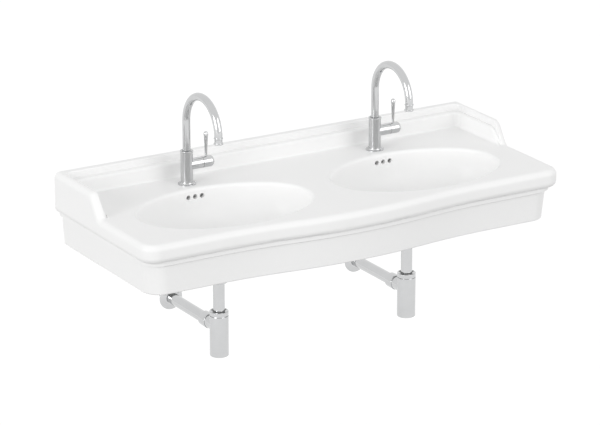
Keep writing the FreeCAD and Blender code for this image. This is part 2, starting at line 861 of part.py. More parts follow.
def spout_seals():
    """Two seal rings in the spout's grooves."""
    inner = spout_diameter - 2 * seal_groove_depth
    rings = [
        ring(inner, spout_diameter, height + seal_play, height + seal_groove_width - seal_play)
        for height in seal_heights()
    ]
    return Part.makeCompound(rings)


def aerator():
    """Aerator housing: two beads with a waist between, screwed on the spout's nozzle."""
    waist = spout_diameter / 2
    upper = aerator_top_ring_diameter / 2
    low = aerator_low_ring_diameter / 2
    thread = spout_bore_diameter / 2 + nozzle_wall + press_gap
    seat = insert_diameter / 2 + press_gap
    upper_bottom = aerator_top - aerator_top_ring_height
    low_top = aerator_bottom + aerator_low_ring_height
    step = aerator_bottom + insert_recess + insert_height
    housing = turned([
        (seat, aerator_bottom), (low, aerator_bottom, aerator_ring_round), (low, low_top, aerator_ring_round),
        (waist, low_top), (waist, upper_bottom), (upper, upper_bottom, aerator_ring_round),
        (upper, aerator_top, aerator_ring_round), (thread, aerator_top), (thread, step), (seat, step),
    ])
    return housing.translated(Vector(0, -spout_reach, 0))


def aerator_insert():
    """Jet insert inside the aerator: one jet in the middle and a ring of jets round it."""
    bottom = aerator_bottom + insert_recess
    top = bottom + insert_height
    disc = rod(insert_diameter, Vector(0, 0, bottom), Vector(0, 0, top))
    jet = rod(insert_jet_diameter, Vector(0, 0, bottom - overrun), Vector(0, 0, top + overrun))
    jets = [jet]
    for index in range(insert_jet_count):
        turn = 2 * math.pi * index / insert_jet_count
        radius = insert_jet_ring_diameter / 2
        jets.append(jet.translated(Vector(radius * math.cos(turn), radius * math.sin(turn), 0)))
    return disc.cut(jets).translated(Vector(0, -spout_reach, 0))


def waste_body():
    """Flanged waste: a rounded flange in the bowl, a threaded tail and overflow slots at the channel."""
    flange = flange_diameter / 2
    mouth = waste_mouth_diameter / 2
    bore = waste_bore_diameter / 2
    flange_bottom = bowl_floor - flange_height
    body = turned([
        (bore, -waste_end_drop), (waste_thread_radius, -waste_end_drop), (waste_thread_radius, flange_bottom),
        (flange, flange_bottom), (flange, bowl_floor, flange_round), (mouth, bowl_floor),
        (bore, flange_bottom),
    ])
    low = bowl_floor - bowl_wall - channel_gap
    high = bowl_floor - bowl_wall
    reach = waste_thread_radius + overrun
    half_slot = slot_width / 2
    return body.cut([
        box(Vector(-reach, -half_slot, low), Vector(reach, half_slot, high)),
        box(Vector(-half_slot, -reach, low), Vector(half_slot, reach, high)),
    ])


def click_unit():
    """Push-open unit: a guide tube held on fins in the waste's bore."""
    bottom = -click_top_drop - click_length
    tube = ring(plug_stem_diameter + 2 * running_gap, click_diameter, bottom, -click_top_drop)
    middle = -click_top_drop - click_length / 2
    wall = (click_diameter + plug_stem_diameter) / 4
    fin_end = waste_bore_diameter / 2 - press_gap
    fin = box(Vector(wall, -click_fin_thickness / 2, middle - click_fin_length / 2),
              Vector(fin_end, click_fin_thickness / 2, middle + click_fin_length / 2))
    fins = []
    for index in range(click_fin_count):
        copy = fin.copy()
        copy.rotate(Vector(), Vector(0, 0, 1), full_turn_deg * index / click_fin_count)
        fins.append(copy)
    return tube.fuse(fins).removeSplitter()


def plug_cap():
    """Domed plug lid that covers the waste's mouth."""
    outer = plug_diameter / 2
    bottom = bowl_floor + moving_gap
    rim = bottom + plug_rim_height
    top = bottom + plug_dome_height
    rise = top - rim
    dome_radius = (outer**2 + rise**2) / (2 * rise)
    half = outer / 2
    half_height = top - dome_radius + math.sqrt(dome_radius**2 - half**2)
    outline = [
        line(Vector(0, 0, bottom), Vector(outer, 0, bottom)),
        line(Vector(outer, 0, bottom), Vector(outer, 0, rim)),
        arc(Vector(outer, 0, rim), Vector(half, 0, half_height), Vector(0, 0, top)),
        line(Vector(0, 0, top), Vector(0, 0, bottom)),
    ]
    return spun(Part.Wire(outline), Vector(0, 0, 1))


def plug_stem():
    """Sliding stem under the plug lid."""
    top = bowl_floor + moving_gap
    return rod(plug_stem_diameter, Vector(0, 0, top - plug_stem_length), Vector(0, 0, top))


def plug_seal():
    """Soft ring under the plug lid."""
    top = bowl_floor + moving_gap
    return ring(plug_stem_diameter, plug_seal_diameter, top - plug_seal_thickness, top)


def tailpipe():
    """Plain tube from the waste down into the trap, where it is the dip tube."""
    inner = pipe_diameter - 2 * pipe_wall
    return ring(inner, pipe_diameter, -tailpipe_end_drop, tailpipe_lap - waste_end_drop)


def union_nut():
    """Round nut that holds the tailpipe on the waste's thread."""
    outer = union_nut_diameter / 2
    thread = waste_thread_radius + press_gap
    shelf = -waste_end_drop - union_seal_thickness
    top, bottom = -union_nut_top_drop, -union_nut_bottom_drop
    return turned([
        (lip_radius, bottom), (outer, bottom, union_nut_round), (outer, top, union_nut_round), (thread, top),
        (thread, shelf), (lip_radius, shelf),
    ])


def trap_head_nut():
    """Collar nut at the trap's neck, dished on top round the tailpipe."""
    outer = trap_diameter / 2
    thread = trap_neck_diameter / 2 + press_gap
    dish = head_nut_dish_diameter / 2
    top, bottom = -head_nut_top_drop, -head_nut_bottom_drop
    shelf = trap_neck_height + trap_seal_thickness - trap_shoulder_drop
    return turned([
        (thread, bottom), (outer, bottom, head_nut_round), (outer, top, head_nut_round), (dish, top),
        (lip_radius, top - head_nut_dish_depth), (lip_radius, shelf), (thread, shelf),
    ])


def trap_body():
    """Bottle of the trap: a neck, a plain cylinder with a rounded foot, and the outlet stub."""
    outer = trap_diameter / 2
    inner = outer - trap_wall
    neck = trap_neck_diameter / 2
    neck_bore = trap_neck_bore_diameter / 2
    bottom, shoulder = -trap_bottom_drop, -trap_shoulder_drop
    neck_top = shoulder + trap_neck_height
    neck_low = shoulder - trap_neck_depth
    solid = turned([
        (0, bottom), (outer, bottom, trap_bottom_round), (outer, shoulder), (neck, shoulder),
        (neck, neck_top), (0, neck_top),
    ])
    stub = rod(outlet_stub_diameter, Vector(0, 0, -outlet_drop), Vector(0, outlet_stub_end, -outlet_drop))
    inside = turned([
        (0, bottom + trap_wall), (inner, bottom + trap_wall, trap_bottom_round), (inner, neck_low),
        (neck_bore, neck_low), (neck_bore, neck_top + overrun), (0, neck_top + overrun),
    ])
    port = rod(2 * lip_radius, Vector(0, 0, -outlet_drop), Vector(0, outlet_stub_end + overrun, -outlet_drop))
    return solid.fuse(stub).removeSplitter().cut([inside, port])


def outlet_nut():
    """Round nut that holds the outlet pipe on the trap's stub."""
    outer = outlet_nut_diameter / 2
    thread = outlet_stub_diameter / 2 + press_gap
    shelf = outlet_stub_end + outlet_seal_thickness
    nut = turned_along_y([
        (thread, outlet_nut_start), (outer, outlet_nut_start, outlet_nut_round),
        (outer, outlet_nut_end, outlet_nut_round), (lip_radius, outlet_nut_end), (lip_radius, shelf),
        (thread, shelf),
    ])
    return nut.translated(Vector(0, 0, -outlet_drop))


def outlet_seal():
    """Seal ring between the stub's end and the outlet nut."""
    inner = pipe_radius + press_gap
    outer = outlet_stub_diameter / 2
    start, end = outlet_stub_end, outlet_stub_end + outlet_seal_thickness
    seal = turned_along_y([(inner, start), (outer, start), (outer, end), (inner, end)])
    return seal.translated(Vector(0, 0, -outlet_drop))


def outlet_pipe():
    """Horizontal pipe from the trap to the wall, with a spigot drawn down to enter the drain in the wall."""
    inner = pipe_radius - pipe_wall
    spigot = outlet_spigot_diameter / 2
    start, wall = outlet_pipe_start, -waste_y
    end = wall + outlet_pipe_past_wall
    pipe = turned_along_y([
        (inner, start), (pipe_radius, start), (pipe_radius, wall), (spigot, wall), (spigot, end),
        (inner, end),
    ])
    return pipe.translated(Vector(0, 0, -outlet_drop))


def wall_rose():
    """Domed cover ring where the outlet pipe enters the wall."""
    bore = pipe_radius + press_gap
    outer = rose_diameter / 2
    wall = -waste_y
    neck = rose_neck_diameter / 2
    rose = turned_along_y([
        (bore, wall), (outer, wall), (outer, wall - rose_rim_height), (neck, wall - rose_height, rose_round),
        (bore, wall - rose_height),
    ])
    return rose.translated(Vector(0, 0, -outlet_drop))


def write(name, shape):
    """Write one node's STEP file."""
    shape.exportStep("parts/%s.step" % name)


def write_sides(name, shape, y):
    """Write a left and a right node of a piece made about its own axis at x = y = 0."""
    for side, share in side_shares.items():
        write("%s_%s" % (name, side), shape.translated(Vector(share * bowl_spacing, y, 0)))


def write_pair(name, shape, y):
    """Write one node that holds the left and the right copy of a piece."""
    write(name, Part.makeCompound([s.translated(Vector(0, y, 0)) for s in both_sides([shape])]))


os.makedirs("parts", exist_ok=True)
write("basin", basin())

for node, piece in {
    "tap_base": tap_base(),
    "tap_body": tap_body(),
    "tap_shank": tap_shank(),
    "cartridge": cartridge(),
    "cartridge_nut": cartridge_nut(),
    "cartridge_stem": cartridge_stem(),
    "handle_cap": handle_cap(),
    "lever": lever(),
    "handle_screw": handle_screw(),
    "spout_bush": spout_bush(),
    "spout": spout(),
    "spout_seals": spout_seals(),
    "aerator": aerator(),
    "aerator_insert": aerator_insert(),
}.items():
    write_sides(node, piece, tap_y)

washer_bottom = -deck_thickness - backing_washer_thickness
thread_bore = shank_diameter + 2 * press_gap
write_pair("tap_gaskets", ring(gasket_inner_diameter, gasket_diameter, 0, gasket_thickness), tap_y)
write_pair("tap_washers", ring(thread_bore, backing_washer_diameter, washer_bottom, -deck_thickness), tap_y)
write_pair("tap_lock_nuts", hex_nut(tap_nut_across_flats, thread_bore, washer_bottom - tap_nut_height,
                                    washer_bottom), tap_y)

for node, piece in {
    "waste_body": waste_body(),
    "click_unit": click_unit(),
    "plug_cap": plug_cap(),
    "plug_stem": plug_stem(),
    "plug_seal": plug_seal(),
    "tailpipe": tailpipe(),
    "trap_body": trap_body(),
    "outlet_pipe": outlet_pipe(),
}.items():
    write_sides(node, piece, waste_y)

waste_thread_bore = waste_thread_diameter + 2 * press_gap
under_seal_bottom = -boss_drop - under_seal_thickness
neck_top = trap_neck_height - trap_shoulder_drop
union_shelf = -waste_end_drop - union_seal_thickness
seal_bore = pipe_diameter + 2 * press_gap
for node, piece in {
    "flange_seals": ring(waste_thread_bore, flange_seal_diameter, waste_seat,
                         waste_seat + flange_seal_thickness),
    "under_seals": ring(waste_thread_bore, under_seal_diameter, under_seal_bottom, -boss_drop),
    "waste_lock_nuts": hex_nut(waste_nut_across_flats, waste_thread_bore,
                               under_seal_bottom - waste_nut_height, under_seal_bottom),
    "union_seals": ring(seal_bore, waste_thread_diameter, union_shelf, -waste_end_drop),
    "union_nuts": union_nut(),
    "trap_seals": ring(seal_bore, trap_neck_diameter, neck_top, neck_top + trap_seal_thickness),
    "trap_head_nuts": trap_head_nut(),
    "outlet_seals": outlet_seal(),
    "outlet_nuts": outlet_nut(),
    "wall_roses": wall_rose(),
}.items():
    write_pair(node, piece, waste_y)
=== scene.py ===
import json
import logging
import math
from dataclasses import dataclass
from enum import Enum
from typing import Callable, Sequence

import bmesh
import bpy
import numpy as np
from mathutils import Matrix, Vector
from numpy.typing import NDArray


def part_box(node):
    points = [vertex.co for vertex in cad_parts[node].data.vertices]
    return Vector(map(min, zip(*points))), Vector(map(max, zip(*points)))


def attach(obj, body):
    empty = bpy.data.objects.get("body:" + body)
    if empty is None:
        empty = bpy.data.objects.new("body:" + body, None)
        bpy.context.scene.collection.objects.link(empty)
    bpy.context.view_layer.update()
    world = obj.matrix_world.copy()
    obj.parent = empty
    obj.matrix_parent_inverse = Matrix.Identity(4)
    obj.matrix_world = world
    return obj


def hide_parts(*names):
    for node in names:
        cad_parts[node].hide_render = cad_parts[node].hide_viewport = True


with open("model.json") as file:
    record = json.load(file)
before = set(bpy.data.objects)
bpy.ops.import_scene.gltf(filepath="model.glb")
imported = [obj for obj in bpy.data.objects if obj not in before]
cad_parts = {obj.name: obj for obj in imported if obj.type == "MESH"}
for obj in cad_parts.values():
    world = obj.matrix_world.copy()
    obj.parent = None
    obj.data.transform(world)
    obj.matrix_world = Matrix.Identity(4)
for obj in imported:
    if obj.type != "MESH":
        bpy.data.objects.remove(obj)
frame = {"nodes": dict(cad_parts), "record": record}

# The dressed double basin, in metres. X runs along the wall to the right, +Y into the wall, Z up.

Array = NDArray[np.float64]
Colour = tuple[float, float, float]
Corner = tuple[float, float, float]

log = logging.getLogger("basin")
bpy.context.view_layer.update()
ROUND_STEPS = 8
SEGMENTS = 96
MERGE_DISTANCE = 1e-6
SHARP_ANGLE = math.radians(32.0)
# Places of the Mix node's sockets that are used for colours.
MIX_FACTOR, MIX_SHADE_A, MIX_SHADE_B, MIX_RESULT = 0, 6, 7, 2


class Side(Enum):
    """The viewer's left and right fittings."""

    LEFT = "left"
    RIGHT = "right"

    def node(self, name: str) -> str:
        """Name of a CAD node or body on this side."""
        return f"{name}_{self.value}"


class Axis(Enum):
    """Row axis that a turned piece is round about, as an index."""

    X = 0
    Y = 1
    Z = 2


class Slot(Enum):
    """Material slots of the record."""

    CERAMIC = "ceramic"
    CHROME = "chrome"
    BRASS = "brass"
    STEEL = "steel"
    CARTRIDGE = "cartridge_plastic"
    BUSH = "bush_plastic"
    RUBBER = "rubber"


@dataclass(frozen=True)
class NodeBox:
    """Box of a CAD node at rest, in metres."""

    low: Array
    high: Array

    @classmethod
    def of(cls, node: str) -> "NodeBox":
        """Box of the CAD node with this name."""
        low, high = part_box(node)
        return cls(np.array(low, float), np.array(high, float))

    @property
    def centre(self) -> Array:
        """Middle of the box."""
        return (self.low + self.high) / 2

    def radius(self, axis: Axis) -> float:
        """Half the box's width along one axis."""
        return float(self.high[axis.value] - self.low[axis.value]) / 2


@dataclass
class Skin:
    """One closed surface: points and the quads between them."""

    points: Array
    quads: NDArray[np.int64]


def grid_quads(rows: int, columns: int, wrap_rows: bool) -> NDArray[np.int64]:
    """Quads of a grid whose columns close on themselves.

    Args:
        rows: Number of grid rows.
        columns: Number of points in each row.
        wrap_rows: Whether the last row joins the first.

    Returns:
        Indices of each quad's corners, taken row by row.
    """
    row = np.arange(rows if wrap_rows else rows - 1)[:, None]
    column = np.arange(columns)[None, :]
    after, beside = (row + 1) % rows, (column + 1) % columns
    here, there = row * columns, after * columns
    corners = (here + column, here + beside, there + beside, there + column)
    return np.stack(np.broadcast_arrays(*corners), -1).reshape(-1, 4)


def rounded(corners: Sequence[Corner], closed: bool = True) -> Array:
    """Profile through (radius, along, round) corners, each round one a tangent arc.

    The arc at a corner starts and ends at round / tan(half the corner's angle) from it. Its points blend the
    arc's two ends about its centre, by the sines of the turn that is left and of the turn that is done.

    Args:
        corners: Corner points with the size of their rounding.
        closed: Whether the last corner joins the first.

    Returns:
        Profile points, one (radius, along) row each.
    """
    points = np.array([c[:2] for c in corners], float)
    runs = []
    for index, (point, size) in enumerate(zip(points, (c[2] for c in corners))):
        at_end = not closed and index in (0, len(corners) - 1)
        if size <= 0 or at_end:
            runs.append(point[None, :])
            continue
        back = points[index - 1] - point
        ahead = points[(index + 1) % len(corners)] - point
        back, ahead = back / np.linalg.norm(back), ahead / np.linalg.norm(ahead)
        half = math.acos(float(np.clip(back @ ahead, -1, 1))) / 2
        run = size / math.tan(half)
        middle = (back + ahead) / np.linalg.norm(back + ahead)
        centre = point + middle * size / math.sin(half)
        start, end = point + back * run - centre, point + ahead * run - centre
        turn = math.pi - 2 * half
        t = np.linspace(0, 1, ROUND_STEPS + 1)[:, None]
        runs.append(centre + (np.sin((1 - t) * turn) * start + np.sin(t * turn) * end) / math.sin(turn))
    return np.concatenate(runs)


def revolve(profile: Array, axis: Axis, origin: Array, closed: bool = True) -> Skin:
    """Turn a profile about a row axis: each point goes round a circle of its own radius.

    Args:
        profile: (radius, along) rows.
        axis: Axis to turn about.
        origin: Any point on the axis; its own place along the axis isn't used.
        closed: Whether the profile's ends join; an open one starts and ends on the axis.

    Returns:
        The closed surface.
    """
    turn = np.linspace(0, 2 * math.pi, SEGMENTS, endpoint=False)
    first, second = (axis.value + 1) % 3, (axis.value + 2) % 3
    points = np.zeros((len(profile), SEGMENTS, 3))
    points[..., axis.value] = profile[:, 1:2]
    points[..., first] = origin[first] + profile[:, :1] * np.cos(turn)
    points[..., second] = origin[second] + profile[:, :1] * np.sin(turn)
    return Skin(points.reshape(-1, 3), grid_quads(len(profile), SEGMENTS, closed))


def carry(profile: Array, path: Callable[[Array], tuple[Array, Array]]) -> Skin:
    """Carry a round section along a path in a plane of constant x, with a radius that changes along it.

    The point at (s, angle) is the path's point at s, plus the radius times the angle's cosine along X and its
    sine along the path's normal.

    Args:
        profile: (radius, distance along the path) rows of a closed profile.
        path: Gives the points and the unit normals at an array of distances.

    Returns:
        The closed surface.
    """
    turn = np.linspace(0, 2 * math.pi, SEGMENTS, endpoint=False)
    centre, normal = path(profile[:, 1])
    across = np.array([1.0, 0.0, 0.0])
    ring = np.cos(turn)[None, :, None] * across + np.sin(turn)[None, :, None] * normal[:, None, :]
    points = centre[:, None, :] + profile[:, 0][:, None, None] * ring
    return Skin(points.reshape(-1, 3), grid_quads(len(profile), SEGMENTS, True))


def saddle(tube: Skin, axis: Axis, start: float, post: Array, radius: float) -> Skin:
    """Bend the flat start of a level tube round an upright post, so that it stays under the post's face.

    A start point at a distance d to the side of the post's axis moves along the tube, to the square root of
    radius squared less d squared from that axis.

    Args:
        tube: The tube, which crosses the post's axis; its points are moved.
        axis: The tube's axis, X or Y.
        start: Where the flat start lies along that axis.
        post: Any point on the post's axis.
        radius: Radius to follow, wider than the tube and less than the post.

    Returns:
        The same tube.
    """
    along, across = axis.value, 1 - axis.value
    first = np.isclose(tube.points[:, along], start)
    offset = tube.points[first, across] - post[across]
    tube.points[first, along] = post[along] + np.sqrt(radius**2 - offset**2)
    return tube


def smooth(mesh: bpy.types.Mesh) -> None:
    """Shade a mesh smooth, with sharp edges where its faces meet at more than the sharp angle."""
    mesh.polygons.foreach_set("use_smooth", np.ones(len(mesh.polygons), bool))
    mesh.set_sharp_from_angle(angle=SHARP_ANGLE)


def weigh_normals(piece: bpy.types.Object) -> None:
    """Let large faces lead the shading, so that flats beside a round edge stay flat."""
    modifier = piece.modifiers.new("weighted normals", "WEIGHTED_NORMAL")
    modifier.keep_sharp = True


def link(name: str, mesh: bpy.types.Mesh) -> bpy.types.Object:
    """Put a mesh into the scene as an object at the origin.

    Args:
        name: The object's name.
        mesh: Its mesh.

    Returns:
        The new object.
    """
    piece = bpy.data.objects.new(name, mesh)
    bpy.context.scene.collection.objects.link(piece)
    return piece


def piece_of(name: str, skins: Sequence[Skin]) -> bpy.types.Object:
    """Make one object of closed surfaces, with poles merged and faces turned outwards.

    Args:
        name: The object's name.
        skins: Surfaces that the piece is made of.

    Returns:
        The new object, at the origin.
    """
    starts = np.cumsum([0] + [len(skin.points) for skin in skins[:-1]])
    points = np.concatenate([skin.points for skin in skins])
    quads = np.concatenate([skin.quads + start for skin, start in zip(skins, starts)])
    mesh = bpy.data.meshes.new(name)
    mesh.from_pydata(points, [], quads.tolist())
    work = bmesh.new()
    work.from_mesh(mesh)
    bmesh.ops.remove_doubles(work, verts=work.verts, dist=MERGE_DISTANCE)
    bmesh.ops.recalc_face_normals(work, faces=work.faces)
    work.to_mesh(mesh)
    work.free()
    smooth(mesh)
    return link(name, mesh)


def merged_copy(node: str, name: str) -> bpy.types.Object:
    """Copy a CAD node with its loose triangles joined, so that it shades smoothly.

    Args:
        node: The CAD node.
        name: The new object's name.

    Returns:
        The copy.
    """
    work = bmesh.new()
    work.from_mesh(frame["nodes"][node].data)
    bmesh.ops.remove_doubles(work, verts=work.verts, dist=MERGE_DISTANCE)
    mesh = bpy.data.meshes.new(name)
    work.to_mesh(mesh)
    work.free()
    # The stored normals belong to the loose triangles and don't fit the joined ones.
    carried = mesh.attributes.get("custom_normal")
    if carried is not None:
        mesh.attributes.remove(carried)
    smooth(mesh)
    piece = link(name, mesh)
    weigh_normals(piece)
    return piece


class NodeSheet:
    """Short hand for adding and wiring shader nodes in one node tree."""

    def __init__(self, tree: bpy.types.NodeTree) -> None:
        """Start with an empty tree."""
        self.tree = tree
        tree.nodes.clear()

    def add(self, kind: str, **settings: object) -> bpy.types.Node:
        """Add a node.

        Args:
            kind: Blender's node type.
            settings: Properties of the node, or values of its inputs where no property has that name.

        Returns:
            The node.
        """
        node = self.tree.nodes.new(kind)
        for key, value in settings.items():
            if hasattr(node, key):
                setattr(node, key, value)
            else:
                node.inputs[key.replace("_", " ")].default_value = value
        return node

    def wire(self, out: bpy.types.NodeSocket, into: bpy.types.NodeSocket) -> None:
        """Link an output to an input."""
        self.tree.links.new(out, into)


class EffectGroups:
    """Shader effects that several finishes share, each a node group built once."""

    def __init__(self) -> None:
        """Build the groups."""
        self.mottle = self._mottle()
        self.tint = self._tint()
        self.ripple = self._ripple()
        self.turning = self._turning()

    @staticmethod
    def _group(
        name: str, inputs: dict[str, float | Colour], output: str, kind: str
    ) -> tuple[NodeSheet, bpy.types.Node, bpy.types.Node]:
        """Start a group with its sockets.

        Args:
            name: The group's name.
            inputs: Input names with their default values, a number or a colour.
            output: The output's name.
            kind: The output's socket type.

        Returns:
            The sheet, the group's input node and its output node.
        """
        tree = bpy.data.node_groups.new(name, "ShaderNodeTree")
        for label, value in inputs.items():
            is_colour = isinstance(value, tuple)
            socket = tree.interface.new_socket(
                label, in_out="INPUT", socket_type="NodeSocketColor" if is_colour else "NodeSocketFloat"
            )
            socket.default_value = (*value, 1.0) if is_colour else value
        tree.interface.new_socket(output, in_out="OUTPUT", socket_type=kind)
        sheet = NodeSheet(tree)
        return sheet, sheet.add("NodeGroupInput"), sheet.add("NodeGroupOutput")

    def _mottle(self) -> bpy.types.NodeTree:
        """A value that drifts between Low and High in soft patches.

        Returns:
            The group.
        """
        sheet, source, result = self._group(
            "soft mottle", {"Scale": 20.0, "Low": 0.0, "High": 1.0}, "Value", "NodeSocketFloat"
        )
        place = sheet.add("ShaderNodeTexCoord")
        noise = sheet.add("ShaderNodeTexNoise", Detail=3.0, Roughness=0.55)
        spread = sheet.add("ShaderNodeMapRange", From_Min=0.3, From_Max=0.7)
        sheet.wire(place.outputs["Object"], noise.inputs["Vector"])
        sheet.wire(source.outputs["Scale"], noise.inputs["Scale"])
        sheet.wire(noise.outputs["Fac"], spread.inputs["Value"])
        sheet.wire(source.outputs["Low"], spread.inputs["To Min"])
        sheet.wire(source.outputs["High"], spread.inputs["To Max"])
        sheet.wire(spread.outputs["Result"], result.inputs["Value"])
        return sheet.tree

    def _tint(self) -> bpy.types.NodeTree:
        """A colour that drifts between two close shades.

        Returns:
            The group.
        """
        sheet, source, result = self._group(
            "two shade tint",
            {"Scale": 6.0, "Shade A": (0.9, 0.9, 0.9), "Shade B": (0.8, 0.8, 0.8)},
            "Color",
            "NodeSocketColor",
        )
        place = sheet.add("ShaderNodeTexCoord")
        noise = sheet.add("ShaderNodeTexNoise", Detail=4.0, Roughness=0.6)
        mix = sheet.add("ShaderNodeMix", data_type="RGBA")
        sheet.wire(place.outputs["Object"], noise.inputs["Vector"])
        sheet.wire(source.outputs["Scale"], noise.inputs["Scale"])
        sheet.wire(noise.outputs["Fac"], mix.inputs[MIX_FACTOR])
        sheet.wire(source.outputs["Shade A"], mix.inputs[MIX_SHADE_A])
        sheet.wire(source.outputs["Shade B"], mix.inputs[MIX_SHADE_B])
        sheet.wire(mix.outputs[MIX_RESULT], result.inputs["Color"])
        return sheet.tree

    def _ripple(self) -> bpy.types.NodeTree:
        """A normal disturbed by low, soft waves, as in a glaze or a plated surface.

        Returns:
            The group.
        """
        sheet, source, result = self._group(
            "soft ripple", {"Scale": 30.0, "Height": 0.0001, "Strength": 0.1}, "Normal", "NodeSocketVector"
        )
        place = sheet.add("ShaderNodeTexCoord")
        noise = sheet.add("ShaderNodeTexNoise", Detail=1.5, Roughness=0.4)
        bump = sheet.add("ShaderNodeBump")
        sheet.wire(place.outputs["Object"], noise.inputs["Vector"])
        sheet.wire(source.outputs["Scale"], noise.inputs["Scale"])
        sheet.wire(noise.outputs["Fac"], bump.inputs["Height"])
        sheet.wire(source.outputs["Height"], bump.inputs["Distance"])
        sheet.wire(source.outputs["Strength"], bump.inputs["Strength"])
        sheet.wire(bump.outputs["Normal"], result.inputs["Normal"])
        return sheet.tree

    def _turning(self) -> bpy.types.NodeTree:
        """A value that varies in fine bands along Z, as tool marks on a turned piece.

        Returns:
            The group.
        """
        sheet, source, result = self._group(
            "turning marks", {"Scale": 900.0, "Low": 0.2, "High": 0.4}, "Value", "NodeSocketFloat"
        )
        place = sheet.add("ShaderNodeTexCoord")
        wave = sheet.add(
            "ShaderNodeTexWave", wave_type="BANDS", bands_direction="Z", Distortion=1.5, Detail=2.0
        )
        spread = sheet.add("ShaderNodeMapRange")
        sheet.wire(place.outputs["Object"], wave.inputs["Vector"])
        sheet.wire(source.outputs["Scale"], wave.inputs["Scale"])
        sheet.wire(wave.outputs["Fac"], spread.inputs["Value"])
        sheet.wire(source.outputs["Low"], spread.inputs["To Min"])
        sheet.wire(source.outputs["High"], spread.inputs["To Max"])
        sheet.wire(spread.outputs["Result"], result.inputs["Value"])
        return sheet.tree


@dataclass(frozen=True)
class Finish:
    """One finish: two close shades, a band of roughness and a soft ripple on a Principled surface."""

    name: str
    shade_a: Colour
    shade_b: Colour
    tint_scale: float
    rough_low: float
    rough_high: float
    rough_scale: float
    ripple_scale: float
    ripple_height: float
    metallic: float = 0.0
    ior: float = 1.5
    specular: float = 0.5
    turned: bool = False

    def material(self, groups: EffectGroups) -> bpy.types.Material:
        """Build the finish's material.

        Args:
            groups: The shared effects.

        Returns:
            A new material.
        """
        material = bpy.data.materials.new(self.name)
        material.use_nodes = True
        sheet = NodeSheet(material.node_tree)
        surface = sheet.add("ShaderNodeBsdfPrincipled", Metallic=self.metallic, IOR=self.ior)
        surface.inputs["Specular IOR Level"].default_value = self.specular
        result = sheet.add("ShaderNodeOutputMaterial")
        tint = sheet.add("ShaderNodeGroup", node_tree=groups.tint, Scale=self.tint_scale)
        tint.inputs["Shade A"].default_value = (*self.shade_a, 1.0)
        tint.inputs["Shade B"].default_value = (*self.shade_b, 1.0)
        rough_tree = groups.turning if self.turned else groups.mottle
        rough = sheet.add("ShaderNodeGroup", node_tree=rough_tree, Scale=self.rough_scale)
        rough.inputs["Low"].default_value = self.rough_low
        rough.inputs["High"].default_value = self.rough_high
        ripple = sheet.add("ShaderNodeGroup", node_tree=groups.ripple, Scale=self.ripple_scale)
        ripple.inputs["Height"].default_value = self.ripple_height
        sheet.wire(tint.outputs["Color"], surface.inputs["Base Color"])
        sheet.wire(rough.outputs["Value"], surface.inputs["Roughness"])
        sheet.wire(ripple.outputs["Normal"], surface.inputs["Normal"])
        sheet.wire(surface.outputs["BSDF"], result.inputs["Surface"])
        return material


FINISHES: dict[Slot, Finish] = {
    Slot.CERAMIC: Finish(
        name="white glaze", shade_a=(0.915, 0.915, 0.912), shade_b=(0.895, 0.896, 0.894), tint_scale=5.0,
        rough_low=0.30, rough_high=0.36, rough_scale=14.0, ripple_scale=22.0, ripple_height=0.0002,
        specular=0.2,
    ),
    Slot.CHROME: Finish(
        name="polished chrome", shade_a=(0.62, 0.625, 0.63), shade_b=(0.56, 0.565, 0.57), tint_scale=30.0,
        rough_low=0.05, rough_high=0.10, rough_scale=60.0, ripple_scale=80.0, ripple_height=0.00005,
        metallic=1.0,
    ),
    Slot.BRASS: Finish(
        name="turned brass", shade_a=(0.70, 0.56, 0.30), shade_b=(0.62, 0.48, 0.24), tint_scale=90.0,
        rough_low=0.22, rough_high=0.36, rough_scale=700.0, ripple_scale=200.0, ripple_height=0.00005,
        metallic=1.0, turned=True,
    ),
    Slot.STEEL: Finish(
        name="plain stainless", shade_a=(0.60, 0.61, 0.62), shade_b=(0.54, 0.55, 0.56), tint_scale=90.0,
        rough_low=0.25, rough_high=0.40, rough_scale=700.0, ripple_scale=200.0, ripple_height=0.00005,
        metallic=1.0, turned=True,
    ),
    Slot.CARTRIDGE: Finish(
        name="pale moulding", shade_a=(0.84, 0.84, 0.82), shade_b=(0.78, 0.78, 0.76), tint_scale=80.0,
        rough_low=0.45, rough_high=0.60, rough_scale=200.0, ripple_scale=400.0, ripple_height=0.00005,
    ),
    Slot.BUSH: Finish(
        name="dark moulding", shade_a=(0.17, 0.17, 0.18), shade_b=(0.14, 0.14, 0.15), tint_scale=80.0,
        rough_low=0.35, rough_high=0.50, rough_scale=200.0, ripple_scale=400.0, ripple_height=0.00005,
    ),
    Slot.RUBBER: Finish(
        name="seal rubber", shade_a=(0.035, 0.035, 0.035), shade_b=(0.022, 0.022, 0.022), tint_scale=120.0,
        rough_low=0.65, rough_high=0.85, rough_scale=250.0, ripple_scale=600.0, ripple_height=0.0001,
    ),
}


class Dresser:
    """Gives CAD nodes and new pieces their finish, body and slot."""

    def __init__(self) -> None:
        """Build one material for each slot of the record."""
        groups = EffectGroups()
        self.materials = {slot: finish.material(groups) for slot, finish in FINISHES.items()}
        self.body_of = {
            node: body for body, nodes in frame["record"]["behaviour"]["bodies"].items() for node in nodes
        }
        self.slot_of = {entry["node"]: Slot(entry["material_slot"]) for entry in frame["record"]["subparts"]}

    def carried_nodes(self) -> None:
        """Give every CAD node the finish of its slot."""
        for node, piece in frame["nodes"].items():
            piece.data.materials.clear()
            piece.data.materials.append(self.materials[self.slot_of[node]])

    def stand_for(self, piece: bpy.types.Object, node: str) -> None:
        """Let a new piece stand for a CAD node: same body, same slot, same finish.

        Args:
            piece: The new piece.
            node: The CAD node that it replaces.
        """
        slot = self.slot_of[node]
        piece.data.materials.append(self.materials[slot])
        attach(piece, self.body_of[node])
        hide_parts(node)
        log.info("%s: %d faces on %s", piece.name, len(piece.data.polygons), self.body_of[node])


